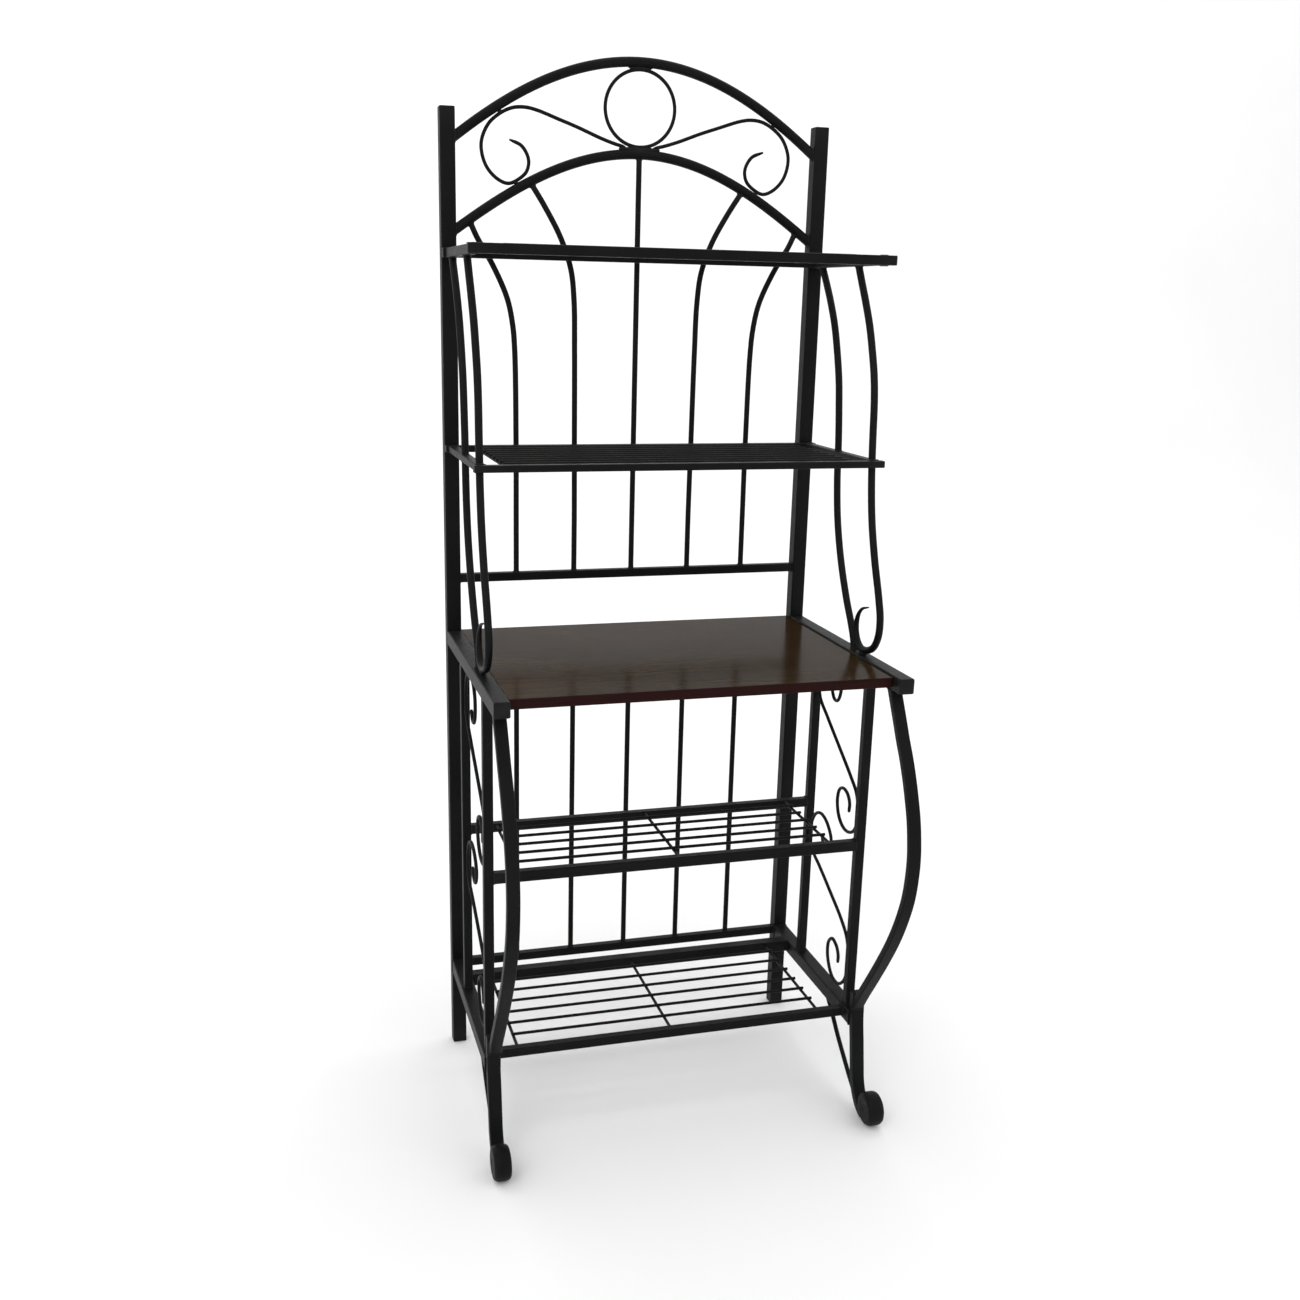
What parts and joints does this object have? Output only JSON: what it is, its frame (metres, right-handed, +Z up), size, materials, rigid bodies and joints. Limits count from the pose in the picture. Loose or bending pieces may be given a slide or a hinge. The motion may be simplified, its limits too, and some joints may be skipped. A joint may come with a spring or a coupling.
{
  "type": "bakers rack",
  "caption": "Tall open metal bakers rack with a dark wood counter, wire shelves above and below it, scrollwork sides and an arched crest with a ring",
  "frame": {"origin": "centre of the bounding box in plan, at floor level", "axes": "+Z up, -Y the open front that a user faces, +X to the right of a person who faces the front"},
  "size_m": [0.6768, 0.5624, 1.7536],
  "materials": {
    "black_metal": "satin black powder coat",
    "dark_wood": "espresso-stained board, semi-gloss lacquer",
    "black_plastic": "moulded black plastic, fine matte",
    "black_bolt": "black-coated steel bolt head"
  },
  "bodies": {
    "root": {"back_post_right": "black_metal", "back_post_left": "black_metal", "post_cap_right": "black_plastic", "post_cap_left": "black_plastic", "post_glide_right": "black_plastic", "post_glide_left": "black_plastic", "upper_arch": "black_metal", "lower_arch": "black_metal", "arch_ring": "black_metal", "arch_scroll_right": "black_metal", "arch_scroll_left": "black_metal", "upper_back_rail": "black_metal", "counter_rear_rail": "black_metal", "lower_back_rail": "black_metal", "upper_back_rod_1": "black_metal", "upper_back_rod_2": "black_metal", "upper_back_rod_3": "black_metal", "upper_back_rod_4": "black_metal", "upper_back_rod_5": "black_metal", "lower_back_rod_1": "black_metal", "lower_back_rod_2": "black_metal", "lower_back_rod_3": "black_metal", "lower_back_rod_4": "black_metal", "lower_back_rod_5": "black_metal", "counter_side_rail_right": "black_metal", "counter_side_rail_left": "black_metal", "counter_rail_cap_right": "black_plastic", "counter_rail_cap_left": "black_plastic", "side_rear_upright_right": "black_metal", "side_rear_upright_left": "black_metal", "side_front_upright_right": "black_metal", "side_front_upright_left": "black_metal", "front_foot_right": "black_metal", "front_foot_left": "black_metal", "bottom_side_rail_right": "black_metal", "bottom_side_rail_left": "black_metal", "bow_leg_right": "black_metal", "bow_leg_left": "black_metal", "foot_brace_right": "black_metal", "foot_brace_left": "black_metal", "side_scroll_upper_right": "black_metal", "side_scroll_upper_left": "black_metal", "side_scroll_lower_right": "black_metal", "side_scroll_lower_left": "black_metal", "side_rod_rear_right": "black_metal", "side_rod_rear_left": "black_metal", "side_rod_front_right": "black_metal", "side_rod_front_left": "black_metal", "top_shelf": "black_metal", "middle_shelf": "black_metal", "wire_shelf": "black_metal", "bottom_shelf": "black_metal", "counter_front_rail": "black_metal", "countertop_board": "dark_wood", "top_shelf_bolt_right": "black_bolt", "top_shelf_bolt_left": "black_bolt", "middle_shelf_bolt_right": "black_bolt", "middle_shelf_bolt_left": "black_bolt", "counter_bolt_right": "black_bolt", "counter_bolt_left": "black_bolt"}
  },
  "joints": []
}
